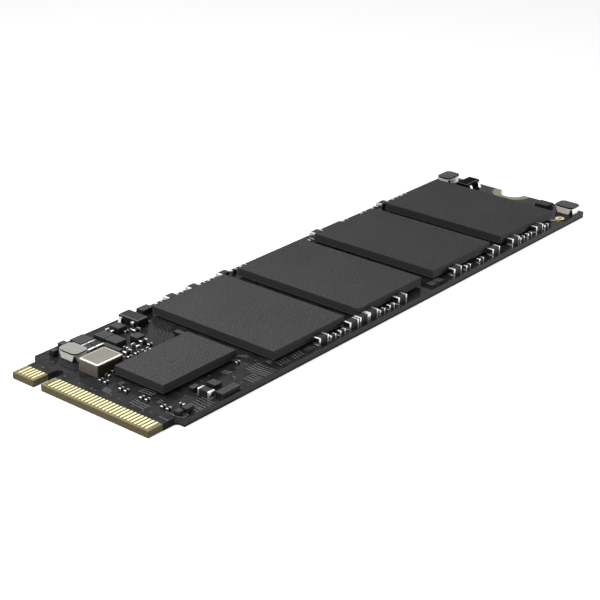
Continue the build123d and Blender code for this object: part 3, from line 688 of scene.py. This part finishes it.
# Traces that stand up under the mask, in millimetres: the first trace of a comb as a run of points, then how
# many there are and the step from one to the next.
TRACE_COMBS = (
    (((-25.3, -9.3), (-25.3, -9.9), (-25.4, -10.1), (-25.4, -10.85)), 4, (0.42, 0)),
    (((-23.5, -8.0), (-23.5, -8.6), (-23.6, -8.8), (-23.6, -9.7), (-23.5, -9.9), (-23.5, -10.85)), 5, (0.42, 0)),
    (((-20.3, -9.35), (-20.3, -9.7), (-20.45, -9.95), (-20.45, -10.4)), 4, (0.44, 0)),
    (((-18.1, -9.5), (-18.1, -9.8), (-18.25, -10.0), (-18.25, -10.5)), 4, (0.44, 0)),
    (((-15.9, -9.5), (-16.0, -10.3)), 4, (0.38, 0)),
    (((-20.8, -8.5), (-20.95, -9.2)), 3, (0.36, 0.1)),
    (((-33.75, -10.0), (-33.75, -10.4), (-33.85, -10.85)), 2, (0.42, 0)),
    (((-33.0, -8.9), (-33.0, -9.6), (-33.1, -9.8), (-33.1, -10.85)), 2, (0.42, 0)),
    (((-32.1, -8.9), (-32.1, -9.6), (-32.2, -9.8), (-32.2, -10.85)), 3, (0.4, 0)),
    (((-35.6, -10.2), (-35.75, -10.7)), 3, (0.34, 0.02)),
    (((-34.45, -3.1), (-34.45, -3.6), (-34.35, -3.8), (-34.35, -4.9)), 3, (0.36, 0)),
    (((-36.85, -4.2), (-36.85, -4.8), (-36.95, -5.0), (-36.95, -6.4)), 3, (0.38, 0)),
    (((-36.75, -0.2), (-36.8, -1.3)), 3, (0.27, 0.1)),
    (((-34.65, -0.25), (-34.7, -0.85)), 3, (0.27, 0)),
    (((-35.0, -6.2), (-35.1, -6.7)), 3, (0.28, 0)),
    (((-35.95, -8.4), (-35.9, -9.0), (-35.96, -9.7), (-35.85, -10.4)), 1, (0, 0)),
    (((-37.05, -8.6), (-37.1, -9.9)), 1, (0, 0)),
    (((-25.8, -6.6), (-25.86, -7.1), (-25.6, -7.5)), 3, (0.3, 0)),
    (((-25.75, -8.1), (-25.95, -8.7)), 1, (0, 0)),
    (((-22.0, -5.3), (-21.6, -6.0), (-21.35, -6.4)), 2, (0.3, 0)),
)

# Traces that turn together behind the controller, in millimetres and degrees
FAN_X, FAN_Y = -25.2, 7.2
FAN_RADII = (1.9, 2.3, 2.7, 3.1, 3.5, 3.9, 4.3)
FAN_START, FAN_TURN, FAN_STEPS = -70, 66, 10

# Gold left bare beside the plated hole: a short trace, and a dot with its radius, in millimetres
BARE_TRACE = ((34.45, -9.4), (34.9, -9.75), (35.2, -9.85))
BARE_DOT = (34.9, -10.25, 0.1)

# Vias covered by the mask, in millimetres
VIAS = (
    (-37.2, 8.3), (-37.1, 5.0), (-37.3, 2.6), (-37.2, 0.9), (-37.3, 0.3), (-36.9, -1.6), (-37.0, -2.8),
    (-37.2, -5.0), (-37.3, -6.5), (-36.9, -7.3), (-35.7, 8.5), (-25.3, -6.7), (-25.4, -7.4), (-25.8, -8.4),
    (-26.3, -9.8), (-27.1, -10.6), (-21.0, -5.8), (-21.4, -6.9), (-21.4, -7.5), (-22.8, -7.4), (-28.7, -6.5),
    (-27.3, -6.3), (-32.2, -7.5), (-22.4, 7.6), (-21.0, 2.6), (-21.6, 1.7), (-34.9, -6.9), (-29.2, -10.7),
)


def add_trace(bm, points, width, height):
    """A low ridge with sloping sides, along a run of points on the card's face, in millimetres."""
    base = [Vector((x * MM, y * MM)) for x, y in points]
    sections = []
    for i, point in enumerate(base):
        before = base[max(i - 1, 0)]
        after = base[min(i + 1, len(base) - 1)]
        along = (after - before).normalized()
        across = Vector((-along.y, along.x))
        section = []
        for offset, rise in ((-0.5, 0), (-0.4, 1), (0.4, 1), (0.5, 0)):
            spot = point + across * offset * width
            section.append((*spot, CARD_FACE + rise * height))
        sections.append(section)
    add_skin(bm, sections)


def add_land(bm, x, y, radius, height, sides=12):
    """A low round land with a dimple over its hole, at a place in millimetres."""
    profile = ((1.0, 0), (0.8, 1), (0.45, 1), (0.3, 0.4))
    add_skin(bm, [
        circle(x * MM, y * MM, radius * share, CARD_FACE + rise * height, sides) for share, rise in profile])


class DRIVE_OT_traces(bpy.types.Operator):
    """Lay the traces and covered vias that stand up under the mask"""

    bl_idname = "drive.traces"
    bl_label = "Traces and Vias"

    def execute(self, context):
        sizes, colours = settings()
        width, height = sizes.trace_width, sizes.trace_height
        bm = bmesh.new()
        for run, count, (step_x, step_y) in TRACE_COMBS:
            for number in range(count):
                moved = [(x + number * step_x, y + number * step_y) for x, y in run]
                add_trace(bm, moved, width, height)
        over_trace = mask_over_copper("solder_mask_over_traces", colours.mask_over_trace_and_highlight)
        new_piece("traces_under_mask", bm, over_trace)
        bm = bmesh.new()
        angles = [math.radians(FAN_START + FAN_TURN * step / FAN_STEPS) for step in range(FAN_STEPS + 1)]
        for radius in FAN_RADII:
            arc = [(FAN_X + radius * math.cos(angle), FAN_Y + radius * math.sin(angle)) for angle in angles]
            add_trace(bm, arc, width, height)
        faint = mask_over_copper("solder_mask_over_fine_traces", shade_of(colours.mask_over_via, 0.6))
        new_piece("fan_of_traces_under_mask", bm, faint)
        bm = bmesh.new()
        for x, y in VIAS:
            add_land(bm, x, y, sizes.via_radius, height)
        over_via = mask_over_copper("solder_mask_over_vias", colours.mask_over_via)
        new_piece("vias_under_mask", bm, over_via)
        bm = bmesh.new()
        add_trace(bm, BARE_TRACE, 1.5 * width, height)
        dot_x, dot_y, dot_radius = BARE_DOT
        add_land(bm, dot_x, dot_y, dot_radius * MM, height)
        new_piece("bare_gold_by_the_hole", bm, soft_gold())
        return {"FINISHED"}


# Packages on solder balls

PACKAGES = ("controller", "flash_1", "flash_2", "flash_3", "flash_4")

# How much of a sphere's curve the side of a seated ball keeps
BALL_CURVE = 0.45


def add_ball(bm, low, high, sides=14):
    """A seated solder ball: a sphere pressed flat at both ends."""
    centre, size = (low + high) / 2, high - low
    radius = min(size.x, size.y) / 2
    loops = []
    for share in (-1.0, -0.75, -0.4, 0.0, 0.4, 0.75, 1.0):
        width = radius * math.sqrt(1 - BALL_CURVE * share * share)
        loops.append(circle(centre.x, centre.y, width, centre.z + share * size.z / 2, sides))
    add_skin(bm, loops)


class DRIVE_OT_packages(bpy.types.Operator):
    """Mould the controller and flash packages, and seat them on round solder balls"""

    bl_idname = "drive.packages"
    bl_label = "Controller and Flash"

    def execute(self, context):
        sizes, colours = settings()
        epoxy = mineral_epoxy("moulded_silica_epoxy", colours.epoxy, 0.12, 0.006, contrast=0.8, painted_side_shade=0.8)
        solder = tinned("reflowed_solder_balls", colours.solder, 0.3, 0.45)
        laminate = mineral_epoxy("thin_package_laminate", colours.epoxy, 0.22, 0.004)
        silicon = polished_silicon()
        for package in PACKAGES:
            cap = package + "_mould_cap"
            bm = one_for_each([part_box(cap)], add_block, sizes.package_edge, Vector((0, 0, -1)))
            even_shading(new_piece(package + "_body", bm, epoxy, [cap]))
            balls = package + "_solder_balls"
            bm = one_for_each(solid_boxes(balls), add_ball)
            even_shading(new_piece(package + "_round_balls", bm, solder, [balls]))
            dress(laminate, package + "_substrate")
        dress(silicon, "controller_die", *(f"flash_{number}_die_stack" for number in (1, 2, 3, 4)))
        return {"FINISHED"}


# The crystal

class DRIVE_OT_crystal(bpy.types.Operator):
    """Draw the crystal's can with its lid's sloping edge and narrow rim"""

    bl_idname = "drive.crystal"
    bl_label = "Crystal"

    def execute(self, context):
        sizes = settings()[0]
        low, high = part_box("crystal_can")
        wall = 0.12 * MM
        corner = 0.3 * MM
        fold = 0.01 * MM
        rim, lid = high.z - sizes.lid_drop, high.z
        ledge = sizes.lid_ledge
        slope_end = ledge + sizes.lid_bevel
        # How far in and at what level each loop lies, from the inner top down the wall, up outside and to the lid
        profile = (
            (wall, lid - wall), (wall, low.z), (0, low.z), (0, rim - fold), (fold, rim), (ledge - fold, rim),
            (ledge, rim + fold / 2), (slope_end - fold, lid - fold / 2), (slope_end, lid),
        )
        loops = [rounded_outline(low, high, inset, corner, level) for inset, level in profile]
        bm = bmesh.new()
        add_skin(bm, loops)
        new_piece("crystal_drawn_can", bm, drawn_nickel(), ["crystal_can"])
        dress(fired_ceramic("fired_alumina", linear("#c8c6bf"), 0.45, 0.6), "crystal_base")
        dress(lapped_quartz(), "quartz_blank")
        return {"FINISHED"}


# Inductors

INDUCTORS = (1, 2, 3)


class DRIVE_OT_inductors(bpy.types.Operator):
    """Finish the inductors: ground ferrite plates on cream resin blocks"""

    bl_idname = "drive.inductors"
    bl_label = "Inductors"

    def execute(self, context):
        sizes, colours = settings()
        # One ferrite, painted lighter by the connector with its rounded edges kept light (painted highlight), and
        # painted darker on the far plates, edges included (painted shade).
        near_plate = ground_ferrite("ground_ferrite", colours.ferrite, 0.6)
        far_plate = ground_ferrite("far_ferrite_painted_darker", colours.far_ferrite_and_shade, 0.97)
        resin = cast_resin()
        copper = enamelled_copper()
        for number in INDUCTORS:
            ferrite = near_plate if number == 1 else far_plate
            soften(f"inductor_{number}_core", "_softened", sizes.plate_edge, ferrite)
            soften(f"inductor_{number}_jacket", "_softened", sizes.jacket_edge, resin)
            dress(copper, f"inductor_{number}_winding")
        dress(tinned("tin_plated_terminals", colours.tin, 0.3, 0.4), "inductor_terminals")
        return {"FINISHED"}


# Small chips and regulators

SQUARE_CHIPS = (
    "power_stage_chip_1", "power_stage_chip_2", "load_switch_1", "load_switch_2", "load_switch_3",
    "memory_chip", "sensor_chip", "flat_part_bodies",
)


class DRIVE_OT_chips(bpy.types.Operator):
    """Mould the small chips and flat parts, and finish the regulators and their leads"""

    bl_idname = "drive.chips"
    bl_label = "Small Chips and Regulators"

    def execute(self, context):
        sizes, colours = settings()
        epoxy = mineral_epoxy("moulded_chip_epoxy", colours.chip_epoxy, 0.15, 0.006, painted_side_shade=0.3)
        near_body = mineral_epoxy(
            "moulded_regulator_epoxy", shade_of(colours.chip_epoxy, 0.6), 0.15, 0.006, painted_side_shade=0.4,
            edge=colours.edge_highlight,
        )
        far_body = mineral_epoxy(
            "dark_moulded_regulator_epoxy", colours.dark_epoxy, 0.15, 0.006, painted_side_shade=0.6,
            edge=shade_of(colours.edge_highlight, 0.7), gloss=0.01,
        )
        tin = tinned("satin_tin_plate", shade_of(colours.tin, 0.8), 0.2, 0.32)
        for node in SQUARE_CHIPS:
            bm = one_for_each(solid_boxes(node), add_block, sizes.chip_edge)
            even_shading(new_piece(node + "_moulded", bm, epoxy, [node]))
        for node, compound in (("regulator_1_body", near_body), ("regulator_2_body", far_body)):
            soften(node, "_moulded", sizes.regulator_edge, compound)
        dress(tin, "regulator_1_leads", "regulator_2_leads", "chip_pads", "flat_part_pads")
        return {"FINISHED"}


# Capacitors and resistors

CASES = ("large_capacitor", "small_capacitor", "tiny_capacitor", "resistor")

# Solder keeps clear of the parts in nodes with these endings, and of the chips.
OBSTACLE_ENDINGS = ("_bodies", "_body", "_mould_cap", "_jacket", "_terminals", "_can")

# Solder climbs this share of a cap's height, and is left out where it would reach less far than this.
SOLDER_RISE = 0.35
LEAST_REACH = 0.03 * MM

# A part counts as lying beyond a cap's end from this far behind it.
FACE_TOLERANCE = 0.01 * MM

# How far across its cap, and how far out and up, the solder reaches from one corner to the other
FILLET_SECTIONS = ((-0.96, 0.45), (-0.768, 0.85), (0.0, 1.0), (0.768, 0.85), (0.96, 0.45))


def add_end_cap(bm, low, high, outwards, radius, wall):
    """A metal cap: rounded outside, with a pocket that holds the end of the ceramic. Its end face takes the
    piece's second material."""
    first_face = len(bm.faces)
    add_block(bm, low, high, radius, flat_side=-outwards)
    bm.faces.ensure_lookup_table()
    faces = bm.faces[first_face:]
    end = max(faces, key=lambda face: face.normal.dot(outwards) * face.calc_area())
    mouth = max(faces, key=lambda face: -face.normal.dot(outwards) * face.calc_area())
    end.material_index = 1
    bmesh.ops.inset_individual(bm, faces=[mouth], thickness=wall, depth=0)
    depth = abs((high - low).dot(outwards)) - wall
    floor = bmesh.ops.extrude_discrete_faces(bm, faces=[mouth])["faces"][0]
    for vertex in floor.verts:
        vertex.co += outwards * depth


def add_solder_fillet(bm, low, high, outwards, reach, rise, steps=5):
    """Solder drawn up the end of a cap, with a hollow slope down to the card."""
    across = Vector((-outwards.y, outwards.x, 0))
    centre = (low + high) / 2
    half_length = abs((high - low).dot(outwards)) / 2
    half_width = abs((high - low).dot(across)) / 2
    foot = Vector((centre.x, centre.y, CARD_FACE)) + outwards * half_length
    profile = [(0.0, 0.0)]
    for step in range(steps + 1):
        angle = math.pi / 2 * step / steps
        profile.append((reach * (1 - math.sin(angle)), rise * (1 - math.cos(angle))))
    loops = []
    for share, spread in FILLET_SECTIONS:
        side = foot + across * half_width * share
        loops.append([side + outwards * out * spread + Vector((0, 0, up * spread)) for out, up in profile])
    add_skin(bm, loops)


def free_reach(low, high, outwards, obstacles, reach, clearance):
    """How far solder may spread from an end before it comes near another part."""
    across = Vector((abs(outwards.y), abs(outwards.x), 0))
    face = max(low.dot(outwards), high.dot(outwards))
    for other_low, other_high in obstacles:
        if other_high.dot(across) < low.dot(across) or other_low.dot(across) > high.dot(across):
            continue
        near = min(other_low.dot(outwards), other_high.dot(outwards))
        if near > face - FACE_TOLERANCE:
            reach = min(reach, near - face - clearance)
    return reach


class DRIVE_OT_passives(bpy.types.Operator):
    """Cap the capacitors and resistors with rounded tin and draw solder up their ends"""

    bl_idname = "drive.passives"
    bl_label = "Capacitors and Resistors"

    def execute(self, context):
        sizes, colours = settings()
        tin = tinned("barrel_plated_tin", colours.tin, 0.28, 0.36, metallic=0.8)
        wetted = tinned("solder_wetted_tin", colours.wetted_end, 0.18, 0.26)
        ceramic = fired_ceramic("fired_barium_titanate", colours.ceramic, 0.35, 0.5)
        glaze = fired_ceramic("overglazed_thick_film", colours.glaze, 0.3, 0.4)
        obstacles = []
        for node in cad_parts:
            if node.endswith(OBSTACLE_ENDINGS) or "chip" in node:
                obstacles.extend(solid_boxes(node))
        solder_bm = bmesh.new()
        for case in CASES:
            bodies, terminals = case + "_bodies", case + "_terminals"
            cores = solid_boxes(bodies)
            middles = [(low + high) / 2 for low, high in cores]
            smallest = min(min(high - low) for low, high in cores)
            radius = min(sizes.cap_edge, 0.15 * smallest)
            bm = one_for_each(cores, add_block, max(radius - sizes.cap_wall, 0))
            material, slot = (glaze, "resistor_glaze") if case == "resistor" else (ceramic, "barium_ceramic")
            even_shading(new_piece(case + "_ceramics", bm, material, [bodies]))
            bm = bmesh.new()
            for low, high in solid_boxes(terminals):
                middle = (low + high) / 2
                away = middle - min(middles, key=lambda spot: (spot - middle).length)
                axis = 0 if abs(away.x) > abs(away.y) else 1
                outwards = Vector((0, 0, 0))
                outwards[axis] = math.copysign(1, away[axis])
                add_end_cap(bm, low, high, outwards, radius, sizes.cap_wall)
                rise = SOLDER_RISE * (high.z - low.z)
                most = min(sizes.fillet_reach, rise)
                reach = free_reach(low, high, outwards, obstacles, most, sizes.fillet_gap)
                if reach > LEAST_REACH and case != "tiny_capacitor":
                    add_solder_fillet(solder_bm, low, high, outwards, reach, rise)
            even_shading(new_piece(case + "_end_caps", bm, tin, [terminals], wetted))
        solder = tinned("reflowed_solder_fillets", colours.solder, 0.45, 0.55)
        even_shading(new_piece("solder_fillets", solder_bm, solder))
        return {"FINISHED"}


# The studio

CAMERA_TARGET = Vector((0, 0, 0.4 * MM))
CAMERA_AZIMUTH = math.radians(-50.3137678)
CAMERA_ELEVATION = math.radians(24.0935268)
CAMERA_ROLL = math.radians(0.483778493)
CAMERA_DISTANCE = 189.823568 * MM
CAMERA_SLIDE = (-3.23422312 * MM, -1.88231071 * MM)
SENSOR_WIDTH_MM = 36.0
PHOTO_WIDTH_PIXELS = 600
FOCAL_LENGTH_PIXELS = 1603.88722

WORLD_LIGHT = 0.28
FLOOR_GLOW = 0.64

# Name, place, aim, width and depth in metres, energy in watts, and spread in degrees
SOFTBOXES = (
    ("connector_end_softbox", (-0.045, 0.03, 0.08), (-0.04, 0.01, 0), (0.06, 0.06), 0.023, 90),
    ("low_front_softbox", (-0.3, 0.0, 0.2), (0, 0, 0), (0.15, 0.15), 0.35, 180),
    ("far_softbox", (0.034, 0.083, 0.105), (-0.033, 0.003, 0), (0.06, 0.06), 0.028, 180),
    ("right_end_softbox", (0.09, -0.08, 0.015), (0.035, 0.0, 0), (0.05, 0.02), 0.045, 140),
)


def add_camera():
    """The camera at the photograph's viewing angle, found by matching the card's corners and contacts."""
    data = bpy.data.cameras.new("studio_camera")
    data.sensor_width = SENSOR_WIDTH_MM
    data.lens = FOCAL_LENGTH_PIXELS / PHOTO_WIDTH_PIXELS * SENSOR_WIDTH_MM
    data.clip_start = 10 * MM
    data.clip_end = 10
    camera = bpy.data.objects.new("studio_camera", data)
    camera.matrix_world = (
        Matrix.Translation(CAMERA_TARGET)
        @ Matrix.Rotation(CAMERA_AZIMUTH, 4, "Z") @ Matrix.Rotation(math.pi / 2 - CAMERA_ELEVATION, 4, "X")
        @ Matrix.Translation((*CAMERA_SLIDE, CAMERA_DISTANCE)) @ Matrix.Rotation(CAMERA_ROLL, 4, "Z")
    )
    bpy.context.scene.collection.objects.link(camera)
    bpy.context.scene.camera = camera


def lit_or_seen(tree, lit, seen, output):
    """Close the tree with one shader for soft light, and another where the camera looks, also through gloss and
    glass."""
    path = add(tree, "LightPath").outputs
    looked_at = add(tree, "Math", path["Is Camera Ray"], path["Is Glossy Ray"], operation="MAXIMUM")
    looked_at = add(tree, "Math", looked_at, path["Is Transmission Ray"], operation="MAXIMUM")
    add(tree, output, Surface=add(tree, "MixShader", looked_at, lit, seen))


def add_backdrop():
    """White where it is seen, and a weaker grey as a source of light."""
    world = bpy.data.worlds.new("white_studio")
    tree = empty_tree(world)
    lit = add(tree, "Background", Color=WHITE, Strength=WORLD_LIGHT)
    seen = add(tree, "Background", Color=WHITE, Strength=1.0)
    lit_or_seen(tree, lit, seen, "OutputWorld")
    bpy.context.scene.world = world


def white_floor():
    """Matt white paper, brightened where it is seen so that it meets the white backdrop and keeps its shadow."""
    material = bpy.data.materials.new("matt_white_paper")
    tree = empty_tree(material)
    paper = add(tree, "BsdfDiffuse", Color=shade_of(linear("#e7e7e7")))
    glow = add(tree, "Emission", Color=WHITE, Strength=FLOOR_GLOW)
    lit_or_seen(tree, paper, add(tree, "AddShader", paper, glow), "OutputMaterial")
    return material


def add_floor():
    """A wide sheet of paper just under the card."""
    half_width = 2.0
    level = -0.02 * MM
    mesh = bpy.data.meshes.new("floor")
    signs = ((-1, -1), (1, -1), (1, 1), (-1, 1))
    mesh.from_pydata([(half_width * x, half_width * y, level) for x, y in signs], [], [(0, 1, 2, 3)])
    floor = bpy.data.objects.new("floor", mesh)
    bpy.context.scene.collection.objects.link(floor)
    mesh.materials.append(white_floor())


def add_softbox(name, place, aim, size, energy, spread):
    """A soft rectangular light that shines from a place to a point. A grid on its front narrows its spread."""
    data = bpy.data.lights.new(name, "AREA")
    data.shape = "RECTANGLE"
    data.size, data.size_y = size
    data.energy = energy
    data.spread = math.radians(spread)
    light = bpy.data.objects.new(name, data)
    light.location = place
    light.rotation_mode = "QUATERNION"
    light.rotation_quaternion = (Vector(aim) - Vector(place)).to_track_quat("-Z", "Y")
    bpy.context.scene.collection.objects.link(light)


class DRIVE_OT_stage(bpy.types.Operator):
    """Set up the white floor, the backdrop, the soft lights and the camera"""

    bl_idname = "drive.stage"
    bl_label = "Stage"

    def execute(self, context):
        context.scene.view_settings.view_transform = "Standard"
        add_backdrop()
        add_floor()
        for softbox in SOFTBOXES:
            add_softbox(*softbox)
        add_camera()
        return {"FINISHED"}


STEPS = (
    DRIVE_OT_card, DRIVE_OT_traces, DRIVE_OT_packages, DRIVE_OT_crystal, DRIVE_OT_inductors, DRIVE_OT_chips,
    DRIVE_OT_passives, DRIVE_OT_stage,
)


class DRIVE_PT_dresser(bpy.types.Panel):
    """The steps in order, with the sizes and colours that they use"""

    bl_idname = "DRIVE_PT_dresser"
    bl_label = "Gumstick Drive"
    bl_space_type = "VIEW_3D"
    bl_region_type = "UI"
    bl_category = "Drive"

    def draw(self, context):
        for step in STEPS:
            self.layout.operator(step.bl_idname)
        for group in (context.scene.drive_sizes, context.scene.drive_colours):
            column = self.layout.column()
            for name in group.bl_rna.properties.keys():
                if name not in ("rna_type", "name"):
                    column.prop(group, name)


CLASSES = (DriveSizes, DriveColours, *STEPS, DRIVE_PT_dresser)


def register():
    for cls in CLASSES:
        bpy.utils.register_class(cls)
    bpy.types.Scene.drive_sizes = bpy.props.PointerProperty(type=DriveSizes)
    bpy.types.Scene.drive_colours = bpy.props.PointerProperty(type=DriveColours)


def unregister():
    del bpy.types.Scene.drive_colours
    del bpy.types.Scene.drive_sizes
    for cls in reversed(CLASSES):
        bpy.utils.unregister_class(cls)


def main():
    """Dress the drive step by step."""
    register()
    for step in STEPS:
        getattr(bpy.ops.drive, step.bl_idname.split(".")[1])()


if __name__ == "__main__":
    main()
